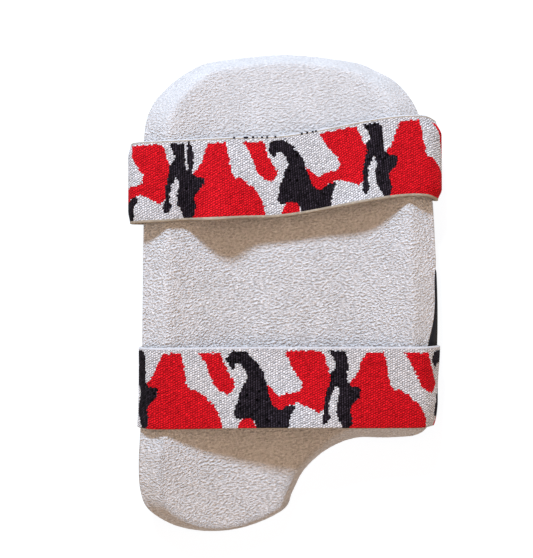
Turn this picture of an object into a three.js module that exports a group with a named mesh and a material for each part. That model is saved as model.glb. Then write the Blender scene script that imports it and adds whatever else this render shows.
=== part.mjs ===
// Cricket thigh guard: a padded, towelling-lined guard moulded to a shallow trough, with a black front
// cover and two elastic straps that cross the towelling and fold round both edges to the front.
// Millimetres, +Z up. The guard lies on its front, so the trough that takes the thigh faces up,
// +X runs across the thigh and +Y along it, towards the hip.
import * as THREE from "three";

// Driving dimensions of the pad
const FLAT_HALF_WIDTH = 25; // half of the flat strip down the middle of the front
const FRONT_RADIUS = 126; // bend of the front on each side of that strip
const PAD_THICKNESS = 20; // from the front to the towelling
const DRAFT = 8; // how far the edge wall leans in from the seam to the towelling's face
const LOBE_WALL = { draft: 4.6, from: -88, fade: 20 }; // the wall is steeper round the lobe
const CREASE_SOFTNESS = 0.22; // how softly the wall turns into that face, as a share of the draft
const WALL_FOOT = 0.8; // height of the towelling at the seam
const SEAM_ROUND = 1.5; // how sharply a strap turns round the seam
const COVER_THICKNESS = 2; // cloth of the front cover
const COVER_EDGE = { height: 0.6, reach: 9 }; // the cover thins to its seam, under the towelling's edge
const COVER_LIP = { height: 6, y: -40, span: 18, from: 60 }; // how far the cover climbs the right wall
const COVER_RIM = { height: 1.6, from: -85, to: 22, fade: 17 }; // and how far along the rest of that wall
const GAP = 0.3; // clearance between pieces that touch

// Driving dimensions of the straps and of the pieces that hold their free ends
const STRAP_WIDTH = 51.5; // 50 mm elastic with its edges
const STRAP_THICKNESS = 2;
const STRAP_CLEARANCE = 1; // between a strap and the pad that it folds round
const FOLD_ROUND = 9; // how sharply a strap turns over the pad's edge on to the trough's side
const TAIL_END = 58; // developed distance from the middle to a strap's end on the front
const FASTENER = { thickness: 1.2, width: 56, from: 55, to: 74 }; // hook-and-loop piece under a right end
const TAIL_RAMP = 8; // developed length in which a strap leaves the piece that holds its end
const CORNER_SLACK = 0.8; // share of a fold's slack where the strap turns, under the seam and over the edge
const SNUG = { from: 0.34, below: 0.7 }; // share of the width past which a fold's corners are drawn in, and
// the lower corners' share of what the upper ones are drawn in by

// Mesh steps
const OUTLINE_STEPS = 260;
const SIDE_STEPS = 160;
const EDGE_STEPS = [0, 0.012, 0.026, 0.041, 0.065, 0.1]; // shares of the pad's width from its edge
const WIDTH_TO_LENGTH = 0.66; // makes the same steps of shares of its length
const STEPS_ACROSS = 12;
const STEPS_ALONG = 20;
const STRAP_ROWS = 8;
const FLANK_STEPS = 8;
const CORNER_STEPS = 5;
const FOLD_STEPS = 5;
const CROSSING_STEPS = 18;
const FASTENER_STEPS = 6;

// The pad's outline seen from above, side by side, each from corner to corner. The lower end is a lobe on the
// left, and the hollow beside it runs up to the shorter right half.
const SIDES = {
  bottom: [
    [-92.4, -143.2], [-75.6, -155.4], [-52.9, -160.7], [-28.4, -158.2], [-4, -147], [2.6, -134.2],
    [10.4, -119.8], [25, -106.7], [44.1, -98.5], [66.6, -97.2], [84.3, -94.4], [91.9, -86.9],
  ],
  right: [
    [91.9, -86.9], [94.6, -75], [94.9, -60], [96.6, -35.9], [96.8, -5], [95.5, 31],
    [94, 60], [90.7, 90], [85, 118.6], [73.8, 137.2],
  ],
  top: [
    [-80.4, 135.8], [-68.4, 146.1], [-50.6, 154.3], [-3.7, 159.4], [40.3, 154.9], [59.4, 147.4],
    [73.8, 137.2],
  ],
  left: [
    [-92.4, -143.2], [-97.7, -129.6], [-98.7, -111.5], [-97.9, -92.7], [-96.7, -65.9], [-96.6, -31.9],
    [-96.3, 0], [-96, 30], [-95.5, 69.9], [-95.2, 104], [-90.6, 122], [-80.4, 135.8],
  ],
};

// How each strap lies: y is its middle line at the left edge, drift and rise what it gains on its way to the
// right, droop what it loses again as it turns over the right edge, bow how far its middle stands up over the
// trough, slack how far each fold stands off the pad, snug how far its upper corner is drawn in, tuck how far
// the strap's edge follows the pad where the pad narrows under it, draw the share of a buckle's height by
// which the lower edge is drawn up, buckles where along X that edge stands up, how far to each side and how high
const STRAPS = {
  upper: {
    y: 70, drift: 3.5, rise: 14, droop: 4, bow: -1, slackLeft: 11.2, slackRight: 5.8, snugLeft: 2.5,
    snugRight: 5, tuck: 0.1, draw: -0.12, buckles: [[-70, 11, -4.5], [-46, 14, 10], [48, 20, 5.5]],
  },
  lower: {
    y: -62.1, drift: 1, rise: 0, droop: 0, bow: 1, slackLeft: 0, slackRight: 0, snugLeft: 0,
    snugRight: 0, tuck: 0.8, draw: 0.13, buckles: [[0, 34, 10.5]],
  },
};
const DRIFT = { from: -110, to: -20 }; // where along X the straps drift, rise and droop
const RISE = { from: -20, to: 82 };
const DROOP = { from: 86, to: 106 };

const smooth = (x) => {
  const t = Math.min(1, Math.max(0, x));
  return t * t * (3 - 2 * t);
};

// The flat, developed pad (u across, v along, w from the front inwards) bent to its trough
function bend(u, v, w) {
  const past = Math.abs(u) - FLAT_HALF_WIDTH;
  if (past <= 0) return new THREE.Vector3(u, v, w);
  const angle = past / FRONT_RADIUS;
  const arm = FRONT_RADIUS - w;
  return new THREE.Vector3(
    Math.sign(u) * (FLAT_HALF_WIDTH + arm * Math.sin(angle)), v, FRONT_RADIUS - arm * Math.cos(angle),
  );
}

// The developed distance of a front point that is seen at x from above
function unroll(x) {
  const past = Math.abs(x) - FLAT_HALF_WIDTH;
  if (past <= 0) return x;
  return Math.sign(x) * (FLAT_HALF_WIDTH + FRONT_RADIUS * Math.asin(past / FRONT_RADIUS));
}

// One closed, smooth outline through all four sides, in developed measure
const backwards = (side) => [...side].reverse();
const runs = [SIDES.bottom, SIDES.right, backwards(SIDES.top), backwards(SIDES.left)];
const loop = runs.flatMap((run) => run.slice(0, -1)).map(([x, y]) => new THREE.Vector3(unroll(x), y, 0));
const outline = new THREE.CatmullRomCurve3(loop, true, "catmullrom", 0.5);
const outlinePoints = outline.getPoints(OUTLINE_STEPS);

// A side of the outline as a function of the share of its length
function sideCurve(first, count) {
  const points = [];
  for (let i = 0; i <= SIDE_STEPS; i++) {
    points.push(outline.getPoint((first + (count * i) / SIDE_STEPS) / loop.length));
  }
  const along = [0];
  for (let i = 1; i <= SIDE_STEPS; i++) along.push(along[i - 1] + points[i].distanceTo(points[i - 1]));
  return (share) => {
    const at = share * along[SIDE_STEPS];
    let i = 1;
    while (i < SIDE_STEPS && along[i] < at) i++;
    return points[i - 1].clone().lerp(points[i], (at - along[i - 1]) / (along[i] - along[i - 1]));
  };
}

const firsts = runs.map((_, k) => runs.slice(0, k).reduce((sum, run) => sum + run.length - 1, 0));
const [bottomSide, rightSide, topBack, leftBack] = runs.map((run, k) => sideCurve(firsts[k], run.length - 1));
const topSide = (s) => topBack(1 - s);
const leftSide = (t) => leftBack(1 - t);

// A Coons patch: the point of the developed pad at share s across and t along, blended from the four sides
function padPoint(s, t) {
  const sum = new THREE.Vector3();
  const add = (point, weight) => sum.addScaledVector(point, weight);
  add(bottomSide(s), 1 - t);
  add(topSide(s), t);
  add(leftSide(t), 1 - s);
  add(rightSide(t), s);
  add(bottomSide(0), -(1 - s) * (1 - t));
  add(bottomSide(1), -s * (1 - t));
  add(topSide(0), -(1 - s) * t);
  add(topSide(1), -s * t);
  return sum;
}

// Distance from a developed point to the outline
function edgeDistance(point) {
  const line = new THREE.Line3();
  const nearest = new THREE.Vector3();
  let best = Infinity;
  for (let i = 0; i < OUTLINE_STEPS; i++) {
    line.set(outlinePoints[i], outlinePoints[i + 1]).closestPointToPoint(point, true, nearest);
    best = Math.min(best, nearest.distanceTo(point));
  }
  return best;
}

// Shares from edge to edge, close together at both edges
function shares(middleSteps, scale) {
  const near = EDGE_STEPS.map((x) => x * scale);
  const start = near[near.length - 1];
  const middle = [];
  for (let i = 1; i < middleSteps; i++) middle.push(start + ((1 - 2 * start) * i) / middleSteps);
  return [...near, ...middle, ...backwards(near).map((x) => 1 - x)];
}

// How much of its height the edge wall still has to climb at a distance from the edge: all at the seam, none
// well inside, along a straight draft that turns softly into the face
const softened = (x) => (x + Math.hypot(x, CREASE_SOFTNESS)) / 2;
const draftAt = (v) => DRAFT + (LOBE_WALL.draft - DRAFT) * smooth((LOBE_WALL.from - v) / LOBE_WALL.fade);
const wallShare = (p) => softened(1 - p.distance / draftAt(p.v)) / softened(1);

// How near a point is to the seam, and how far the cover climbs the wall there
const nearSeam = (p) => 1 - smooth(p.distance / COVER_EDGE.reach);
function lipHeight(p) {
  const bell = Math.exp(-(((p.v - COVER_LIP.y) / COVER_LIP.span) ** 2));
  const { from, to, fade } = COVER_RIM;
  const rim = smooth((p.v - from) / fade) * smooth((to - p.v) / fade);
  const climb = COVER_LIP.height * bell + COVER_RIM.height * rim;
  return climb * smooth((p.u - COVER_LIP.from) / COVER_EDGE.reach);
}

// Height of the face where the cover and the towelling meet: level inside, thinned to the seam at the edge,
// and climbing the wall on the right
const seamHeight = (p) =>
  COVER_THICKNESS + (COVER_EDGE.height - COVER_THICKNESS + lipHeight(p)) * nearSeam(p);

// Height of the towelling's face, from the seam up the edge wall to the pad's thickness
function towelHeight(p) {
  const foot = COVER_EDGE.height + lipHeight(p) + GAP + WALL_FOOT;
  return PAD_THICKNESS - (PAD_THICKNESS - foot) * wallShare(p);
}

// A closed skin over two grids of points with the same rows: the upper one faces out, the lower one in
function skin(lower, upper) {
  const positions = [];
  const quad = (a, b, c, d) => [a, b, c, a, c, d].forEach((p) => positions.push(p.x, p.y, p.z));
  const rows = upper.length - 1;
  const columns = upper[0].length - 1;
  for (let i = 0; i < rows; i++) {
    for (let j = 0; j < columns; j++) {
      quad(upper[i][j], upper[i + 1][j], upper[i + 1][j + 1], upper[i][j + 1]);
      quad(lower[i][j], lower[i][j + 1], lower[i + 1][j + 1], lower[i + 1][j]);
    }
  }
  const wall = (a, b) => quad(lower[a[0]][a[1]], lower[b[0]][b[1]], upper[b[0]][b[1]], upper[a[0]][a[1]]);
  for (let i = 0; i < rows; i++) {
    wall([i, 0], [i + 1, 0]);
    wall([i + 1, columns], [i, columns]);
  }
  for (let j = 0; j < columns; j++) {
    wall([0, j + 1], [0, j]);
    wall([rows, j], [rows, j + 1]);
  }
  const geometry = new THREE.BufferGeometry();
  geometry.setAttribute("position", new THREE.Float32BufferAttribute(positions, 3));
  geometry.computeVertexNormals();
  return geometry;
}

// The developed grid that the pad and its cover share
const padGrid = shares(STEPS_ACROSS, 1).map((s) =>
  shares(STEPS_ALONG, WIDTH_TO_LENGTH).map((t) => {
    const point = padPoint(s, t);
    return { u: point.x, v: point.y, distance: edgeDistance(point) };
  }),
);
const bentGrid = (height) => padGrid.map((row) => row.map((p) => bend(p.u, p.v, height(p))));

// The same grid with its right edge drawn in along the leaning wall by as much as the cover climbs there
const WALL_SLOPE = DRAFT / (PAD_THICKNESS - SEAM_ROUND);
const leaningGrid = (height) =>
  padGrid.map((row) => row.map((p) => bend(p.u - WALL_SLOPE * lipHeight(p) * nearSeam(p), p.v, height(p))));

const padGeometry = () => skin(leaningGrid((p) => seamHeight(p) + GAP), leaningGrid(towelHeight));
const coverGeometry = () => skin(bentGrid(() => 0), leaningGrid(seamHeight));

// The developed distance of the pad's right (side 1) or left (side -1) edge at a height v
function edgeAt(side, v) {
  let best = 0;
  for (let i = 0; i < OUTLINE_STEPS; i++) {
    const a = outlinePoints[i];
    const b = outlinePoints[i + 1];
    if ((a.y - v) * (b.y - v) > 0) continue;
    const share = a.y === b.y ? 0 : (v - a.y) / (b.y - a.y);
    best = Math.max(best, side * (a.x + (b.x - a.x) * share));
  }
  return best;
}

// Half of a strap's run round one edge, from its end on the front to where it leaves the pad, as developed
// points: along the flank, round the seam, up beside the wall, over the edge until it is level
function foldRun(edge, slack, tailDepth) {
  const reach = STRAP_CLEARANCE + STRAP_THICKNESS / 2;
  const corner = { u: edge - SEAM_ROUND, w: SEAM_ROUND, radius: SEAM_ROUND + reach };
  const fold = { u: edge - FOLD_ROUND, w: PAD_THICKNESS - FOLD_ROUND, radius: FOLD_ROUND + reach };
  const leaves = Math.PI / 2 - (fold.u - FLAT_HALF_WIDTH) / FRONT_RADIUS;
  const points = [];
  const add = (u, w, slackShare) => points.push({ u: u + slack * slackShare, w });
  const on = (arc, angle) => [arc.u + arc.radius * Math.cos(angle), arc.w + arc.radius * Math.sin(angle)];
  for (let i = 0; i < FLANK_STEPS; i++) {
    const share = i / FLANK_STEPS;
    const u = TAIL_END + (corner.u - TAIL_END) * share;
    const ramp = smooth((u - FASTENER.to) / TAIL_RAMP);
    add(u, -tailDepth - (reach - tailDepth) * ramp, CORNER_SLACK * smooth(2 * share - 1));
  }
  for (let i = 0; i <= CORNER_STEPS; i++) {
    add(...on(corner, -(Math.PI / 2) * (1 - i / CORNER_STEPS)), CORNER_SLACK);
  }
  add(edge + reach, (corner.w + fold.w) / 2, 1);
  for (let i = 0; i <= FOLD_STEPS; i++) {
    const share = i / FOLD_STEPS;
    add(...on(fold, leaves * share), CORNER_SLACK * (1 - share));
  }
  return points;
}

// How far a strap's lower edge stands up at x
function buckled(strap, x) {
  const bumps = strap.buckles.map(([at, spread, height]) => height * Math.exp(-(((x - at) / spread) ** 2)));
  return bumps.reduce((sum, bump) => sum + bump, 0);
}

// One row of a strap at a share of its width (-0.5 at the lower edge, 0.5 at the upper): points from the left
// end on the front, round the left edge, across the trough, round the right edge to the right end
function strapRow(strap, share) {
  const gained = (x, stretch) => smooth((x - stretch.from) / (stretch.to - stretch.from));
  const middle = (x) =>
    strap.y + strap.drift * gained(x, DRIFT) + strap.rise * gained(x, RISE) - strap.droop * gained(x, DROOP);
  const offset = share * STRAP_WIDTH;
  const sewn = GAP + STRAP_THICKNESS / 2;
  const onFastener = GAP + FASTENER.thickness + sewn;
  const half = (side, slack, tailDepth) => {
    const level = side < 0 ? strap.y : strap.y + strap.drift + strap.rise;
    const widest = Math.max(...[-0.5, 0, 0.5].map((x) => edgeAt(side, level + x * STRAP_WIDTH)));
    const edge = widest + strap.tuck * (edgeAt(side, level + offset) - widest);
    return foldRun(edge, slack, tailDepth).map((p) => bend(side * p.u, 0, p.w));
  };
  const corner = smooth((Math.abs(share) - SNUG.from) / (0.5 - SNUG.from)) * (share > 0 ? 1 : SNUG.below);
  const left = half(-1, strap.slackLeft - strap.snugLeft * corner, sewn);
  const right = half(1, strap.slackRight - strap.snugRight * corner, onFastener).reverse();
  const from = left[left.length - 1];
  const to = right[0];
  const crossing = [];
  for (let i = 1; i < CROSSING_STEPS; i++) {
    const along = i / CROSSING_STEPS;
    const point = from.clone().lerp(to, along);
    const lift = buckled(strap, point.x) * smooth(10 * along) * smooth(10 * (1 - along));
    const raised = lift * (0.5 - share) ** 2;
    point.z += strap.bow * Math.sin(Math.PI * along) + raised;
    point.y += strap.draw * raised;
    crossing.push(point);
  }
  const row = [...left, ...crossing, ...right];
  row.forEach((point) => point.setY(point.y + middle(point.x) + offset));
  return row;
}

// A band through rows of middle points, thickened to both sides along its own normals
function strapGeometry(strap) {
  const rows = [];
  for (let j = 0; j <= STRAP_ROWS; j++) rows.push(strapRow(strap, j / STRAP_ROWS - 0.5));
  return thickened(rows, STRAP_THICKNESS);
}

function thickened(rows, thickness) {
  const last = rows[0].length - 1;
  const end = rows.length - 1;
  const normal = (j, i) => {
    const along = rows[j][Math.min(i + 1, last)].clone().sub(rows[j][Math.max(i - 1, 0)]);
    const across = rows[Math.min(j + 1, end)][i].clone().sub(rows[Math.max(j - 1, 0)][i]);
    return along.cross(across).normalize();
  };
  const moved = (distance) =>
    rows.map((row, j) => row.map((point, i) => point.clone().addScaledVector(normal(j, i), distance)));
  const lower = moved(-thickness / 2);
  const upper = moved(thickness / 2);
  const turned = (grid) => grid[0].map((_, i) => grid.map((row) => row[i]));
  return skin(turned(lower), turned(upper));
}

// A flat hook-and-loop piece on the right flank of the front, under a strap's free end
function fastenerGeometry(strap) {
  const middle = strap.y + strap.drift + strap.rise;
  const rows = [-0.5, 0.5].map((share) => {
    const row = [];
    for (let i = 0; i <= FASTENER_STEPS; i++) {
      const u = FASTENER.from + ((FASTENER.to - FASTENER.from) * i) / FASTENER_STEPS;
      row.push(bend(u, middle + share * FASTENER.width, -GAP - FASTENER.thickness / 2));
    }
    return row;
  });
  return thickened(rows, FASTENER.thickness);
}

const cloth = (color, roughness) => new THREE.MeshStandardMaterial({ color, roughness, metalness: 0 });
const TOWELLING = cloth(0xd9d7dc, 0.95);
const BLACK_CLOTH = cloth(0x17161a, 0.8);
const ELASTIC = cloth(0xc4232b, 0.85);
const HOOK_AND_LOOP = cloth(0x101012, 0.9);

const pieces = [
  ["pad", padGeometry(), TOWELLING],
  ["front_cover", coverGeometry(), BLACK_CLOTH],
  ["upper_strap", strapGeometry(STRAPS.upper), ELASTIC],
  ["lower_strap", strapGeometry(STRAPS.lower), ELASTIC],
  ["upper_fastener", fastenerGeometry(STRAPS.upper), HOOK_AND_LOOP],
  ["lower_fastener", fastenerGeometry(STRAPS.lower), HOOK_AND_LOOP],
];

// The guard stands with the middle of its box over the origin
const body = new THREE.Group();
for (const [name, geometry, material] of pieces) {
  const mesh = new THREE.Mesh(geometry, material);
  mesh.name = name;
  body.add(mesh);
}
const box = new THREE.Box3().setFromObject(body);
const middle = box.getCenter(new THREE.Vector3());
body.position.set(-middle.x, -middle.y, -box.min.z);

const thighGuard = new THREE.Group();
thighGuard.add(body);

export default thighGuard;
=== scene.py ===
"""Looks of a cricket thigh guard: a towelling pad with a black cover and two camouflage elastic straps."""
import math

import bpy
import numpy as np
from bpy.props import FloatProperty, FloatVectorProperty, IntProperty, PointerProperty
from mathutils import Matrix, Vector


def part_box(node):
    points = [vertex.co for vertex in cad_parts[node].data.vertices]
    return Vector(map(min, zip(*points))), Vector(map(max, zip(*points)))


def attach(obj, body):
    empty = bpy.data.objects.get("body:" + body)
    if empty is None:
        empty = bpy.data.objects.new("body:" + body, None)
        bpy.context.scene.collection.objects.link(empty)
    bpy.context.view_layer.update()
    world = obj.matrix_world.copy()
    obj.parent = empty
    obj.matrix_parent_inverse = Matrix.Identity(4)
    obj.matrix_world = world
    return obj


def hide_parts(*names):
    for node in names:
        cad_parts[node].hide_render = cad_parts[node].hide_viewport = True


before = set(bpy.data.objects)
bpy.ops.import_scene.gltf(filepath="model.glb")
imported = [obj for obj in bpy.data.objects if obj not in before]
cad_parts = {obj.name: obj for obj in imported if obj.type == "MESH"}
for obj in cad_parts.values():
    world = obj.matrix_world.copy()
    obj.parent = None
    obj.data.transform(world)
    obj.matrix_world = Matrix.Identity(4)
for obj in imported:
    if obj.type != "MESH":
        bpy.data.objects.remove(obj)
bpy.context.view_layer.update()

bl_info = {
    "name": "Thigh guard",
    "version": (1, 0, 0),
    "blender": (4, 5, 0),
    "location": "View3D > Sidebar > Thigh guard",
    "description": "Dresses the frame of a cricket thigh guard in towelling, cloth, elastic and thread",
    "category": "Object",
}

BODY = "root"
MM = 0.001

# The pad's outline seen from above, in millimetres: its four sides, each from corner to corner. The lower
# end is a lobe on the left, and the hollow beside it runs up to the shorter right half.
SIDES = {
    "bottom": [
        (-92.4, -143.2), (-75.6, -155.4), (-52.9, -160.7), (-28.4, -158.2), (-4, -147), (2.6, -134.2),
        (10.4, -119.8), (25, -106.7), (44.1, -98.5), (66.6, -97.2), (84.3, -94.4), (91.9, -86.9),
    ],
    "right": [
        (91.9, -86.9), (94.6, -75), (94.9, -60), (96.6, -35.9), (96.8, -5), (95.5, 31), (94, 60), (90.7, 90),
        (85, 118.6), (73.8, 137.2),
    ],
    "top": [
        (-80.4, 135.8), (-68.4, 146.1), (-50.6, 154.3), (-3.7, 159.4), (40.3, 154.9), (59.4, 147.4),
        (73.8, 137.2),
    ],
    "left": [
        (-92.4, -143.2), (-97.7, -129.6), (-98.7, -111.5), (-97.9, -92.7), (-96.7, -65.9), (-96.6, -31.9),
        (-96.3, 0), (-96, 30), (-95.5, 69.9), (-95.2, 104), (-90.6, 122), (-80.4, 135.8),
    ],
}

# Steps round the outline, along one side of it and up the edge wall, and how many points look for their
# nearest edge at a time
OUTLINE_STEPS = 260
SIDE_STEPS = 160
WALL_STEPS = 400
NEAREST_AT_A_TIME = 400

# In metres: the band along the edge that holds the wall, the climb past which the cover shows on it, how far
# above the front the pad's edge ends and how far under it tucks. Then the rings that close the underside, as
# shares of the outline.
EDGE_BAND = 0.030
LIP_SHOWS = 0.001
EDGE_LIFT = 0.0003
EDGE_TUCK = 0.0008
UNDERSIDE_RINGS = (0.985, 0.97, 0.95, 0.7, 0.4, 0.1)

# A towelling loop, in shares of its cell: where its place starts and how far that spreads, and its half
# length and half width. Then the range of its turn in radians, the lowest loop's height as a share of the
# tallest, the share left on the pad's edge, and how many cells are drawn each way.
LOOP_START = 0.15
LOOP_SPREAD = 0.7
LOOP_HALF_LENGTH = 0.58
LOOP_HALF_WIDTH = 0.40
LOOP_TURN = 1.6
LOOP_LOWEST = 0.55
LOOP_ON_EDGE = 0.5
LOOP_CELLS = 256

# How each strap lies, in millimetres: y is its middle line at the left edge, drift and rise what it gains on
# its way to the right, droop what it loses again as it turns over the right edge, bow how far its middle
# stands up over the trough, slack how far each fold stands off the pad, snug how far the fold's corners are
# drawn in, tuck how far the strap's edge follows the pad where the pad narrows under it, draw the share of a
# buckle's height by which the lower edge is drawn up, and buckles where along X that edge stands up, how far
# to each side and how high.
# The last lines place the knit: repeat is the length of one repeat of the pattern, half where along X its
# middle lies, hem the share of the width below the pattern, low and high how far the back shows past the
# face, bottom and top the yarns of the outermost half rows, join the charted place at which the strap is
# joined, jump the length that the join takes out of the pattern, stretch past which charted places the
# pattern is drawn out and by what share, and floats where along X a black yarn shows on the upper edge.
STRAPS = {
    "upper": {
        "y": 70, "drift": 3.5, "rise": 14, "droop": 4, "bow": -1, "slack_left": 11.2, "slack_right": 5.8,
        "snug_left": 2.5, "snug_right": 5, "tuck": 0.1, "draw": -0.12,
        "buckles": [(-70, 11, -4.5), (-46, 14, 10), (48, 20, 5.5)],
        "repeat": 122, "half": 0.8, "hem": 0.041, "low": 0.0, "high": 0.9,
        "bottom": ("natural", "natural"), "top": ("natural",), "join": -2.2, "jump": 2.9,
        "stretch": [(62, 0.04)],
        "floats": (-33.3, -26.9, -25, -21.2, -18.7, -15.4, -12.4, -7.2, 10, 13.4, 16.9, 18.8),
    },
    "lower": {
        "y": -62.1, "drift": 1, "rise": 0, "droop": 0, "bow": 1, "slack_left": 0, "slack_right": 0,
        "snug_left": 0, "snug_right": 0, "tuck": 0.8, "draw": 0.13,
        "buckles": [(0, 34, 10.5)],
        "repeat": 129.2, "half": -25.5, "hem": 0.0, "low": 0.3, "high": 0.5,
        "bottom": (), "top": ("white",), "join": None, "jump": 0, "stretch": [(8, 0.13), (115, 0.08)],
        "floats": (),
    },
}

# Both straps, in millimetres along X: where a strap gains its drift and its rise and loses its droop, and how
# far to each side of the middle the stitches of all rows are lined up
DRIFT = (-110, -20)
RISE = (-20, 82)
DROOP = (86, 106)
ANCHOR = 74

# Both straps, as shares: the slack that a fold's arcs have, where across the width a corner starts to be
# drawn in, how much of that the lower corner has, how far the columns of stitches lean with the strap's
# slope, and in how much of the way across the buckles rise and end
CORNER_SLACK = 0.8
SNUG_FROM = 0.34
SNUG_BELOW = 0.7
COLUMN_TILT = 0.6
BUCKLE_EASE = 0.1

# Steps on each stretch of a fold, points of a whole fold, steps on the way across, and how often a row is
# smoothed
FOLD_STEPS = 40
FOLD_POINTS = 3 * FOLD_STEPS
CROSSING_STEPS = 200
SMOOTHINGS = 12

# The knit: columns of stitches in one repeat of the pattern, rows of stitches in the strap's width, and half
# the length of a float in millimetres
KNIT_COLUMNS = 83
KNIT_ROWS = 33
FLOAT_HALF = 0.65

# The strap's back and edges: the share of the face's relief that the back has, and in metres how far in from
# an edge the back is drawn out, and how far the selvedge bulges, which a high power keeps at the very edge
BACK_RELIEF = 0.4
BACK_DRAWN = 0.002
SELVEDGE_BULGE = 0.0003
SELVEDGE_POWER = 9

# The unevenness of the yarns: how far a stitch is moved on the chart and how near it comes to the chart's
# edge, how much a tone varies and how much it does in black yarn, the tone of the painted highlights on the
# upright strokes in black yarn and of the painted shade between them, the colour under which a yarn counts as
# black, and the share of the face's colour that shows on the back
STITCH_SHIFT = 0.25
CHART_MARGIN = 0.1
TONE_SPREAD = 0.09
BLACK_SPREAD = 0.35
BLACK_PAINTED_HIGHLIGHT = 1.8
BLACK_PAINTED_SHADE = 0.5
BLACK_UNDER = 0.1
SHOW_THROUGH = 0.35

# Heights of the waves that give the knit its bump and its painted light and shade: the grooves between
# columns, and the slants of the stitches
GROOVE_WAVE = 0.12
RISING_WAVE = 0.21
FALLING_WAVE = 0.12

# The puckers along the cover's seam: their width as a share of the stitching's inset, their mean depth, and
# the wave that each stitch adds
PUCKER_WIDTH = 0.6
PUCKER_MEAN = 0.6
PUCKER_WAVE = 0.4

# A stitch of sewing thread: its rings and sides, how thick its ends are, and its share of the stitch length
THREAD_RINGS = 7
THREAD_SIDES = 6
THREAD_END = 0.35
STITCH_SHARE = 0.68

# A tape's points across and along it, how much its rim is thinned, and the width of that rim in metres
TAPE_POINTS = (20, 57)
TAPE_THINNED = 0.3
TAPE_RIM = 0.002

# The camouflage, charted over one repeat of 100 units along the strap and 40 up it
CHART_LENGTH = 100
CHART_HEIGHT = 40
CHART = [
    ("red", [
        (9.0, 37.6), (6.9, 33.3), (5.2, 27.8), (2.7, 24.4), (0, 21.9), (-1, 19), (-2, 10), (-2, 0), (38.2, 0),
        (37.6, 4), (36.3, 7.5), (33.8, 11.9), (29.5, 15.9), (24.6, 19.4), (22.4, 19.3), (20.9, 21.4),
        (19.9, 26.9), (19.2, 31.8), (17.9, 37.6),
    ]),
    ("red", [
        (26.3, 37.6), (29.5, 33.6), (31.4, 28.8), (33.3, 23.9), (34.6, 20.9), (37.2, 18.4), (41.1, 16.6),
        (43.3, 18.4), (45.1, 20.6), (44.1, 23.4), (41.9, 26.4), (40.4, 29.8), (39.2, 33.3), (37.7, 37.6),
    ]),
    ("red", [
        (69.1, 38.4), (70.7, 34.1), (72.5, 29.9), (74.8, 26.4), (77.1, 23.5), (77.4, 20.4), (76.1, 17.7),
        (72, 17.4), (69.4, 16.9), (66.4, 15.9), (63.5, 18.4), (61, 21.4), (60.1, 21.9), (61.6, 15.9),
        (63.1, 11.4), (66.4, 8.6), (69.9, 10.9), (75.4, 12.4), (80.3, 10.3), (83.9, 8.2), (85.5, 7.4),
        (89, 9.8), (90, 13.5), (91, 18.8), (92, 24), (91.4, 26.7), (90.6, 29.4), (89.1, 34.6), (87.3, 38.4),
    ]),
    ("black", [
        (43.3, 38.5), (40.9, 36.3), (40.1, 33.8), (41.4, 31.1), (43.3, 29.2), (44.4, 29.8), (44.4, 31.3),
        (46.3, 32.1), (48.4, 30.8), (49.9, 28.4), (50.6, 25.1), (48.9, 21.9), (47, 17.9), (45.8, 13.9),
        (44.5, 10), (44, 6.7), (45, 4.7), (48.9, 4.7), (53.8, 4), (55.5, 0), (70.9, 0), (71.5, 4.5),
        (73, 8.2), (74.8, 10.3), (72.5, 11.6), (69.9, 10.8), (66.6, 8.8), (63.1, 11.4), (61.6, 15.9),
        (60.1, 21.9), (59.2, 26.4), (57.2, 29.8), (54.8, 33.3), (52.1, 35.8), (49.9, 38.3),
    ]),
    ("red", [(45.5, 0), (46.7, 3), (48.4, 4.7), (51.4, 5.1), (53.5, 4.2), (55, 0)]),
    ("black", [
        (91.2, 38.5), (98.4, 38.5), (99.9, 35.7), (100.2, 30.4), (99.9, 25.1), (100.5, 22.5), (102.5, 20.4),
        (106.2, 20.4), (106.7, 17.7), (105.2, 14.5), (102.5, 11.9), (101, 9.2), (102.3, 5.5), (102.1, 2.3),
        (101, 0), (97.4, 0), (95.8, 3.4), (94.3, 7.1), (94.3, 11.9), (95.8, 16.6), (95.3, 19.8), (94.3, 20.9),
        (92.2, 17.7), (90.9, 13.5), (90.4, 9.2), (90.9, 5.5), (89.6, 2.6), (87.5, 2.4), (87, 5), (88, 9.2),
        (88.6, 14.5), (89.8, 19.8), (91.7, 24.6), (91.2, 26.7), (92.7, 28.8), (94, 30.9), (93.3, 34.6),
        (91.7, 37.3),
    ]),
]

# The motifs that a joined strap has on its join
JOIN = [
    ("white", [(-3.4, 40), (-3.4, 25), (-2.2, 25), (-2.2, 40)]),
    ("black", [(-2.2, 37), (-1.2, 39.5), (0.9, 36), (0.9, 25.5), (-0.4, 24), (-2.2, 24)]),
]


def length(name, description, default):
    """A property that holds a length in metres."""
    return FloatProperty(name=name, description=description, default=default, unit="LENGTH", precision=5)


def colour(name, description, default):
    """A property that holds a linear colour."""
    return FloatVectorProperty(
        name=name, description=description, default=default, subtype="COLOR", min=0, max=1,
    )


def watts(name, description, default):
    """A property that holds a light's power."""
    return FloatProperty(name=name, description=description, default=default, unit="POWER")


def spot(name, description, default):
    """A property that holds a place in metres."""
    return FloatVectorProperty(
        name=name, description=description, default=default, subtype="TRANSLATION", unit="LENGTH",
    )


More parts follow.
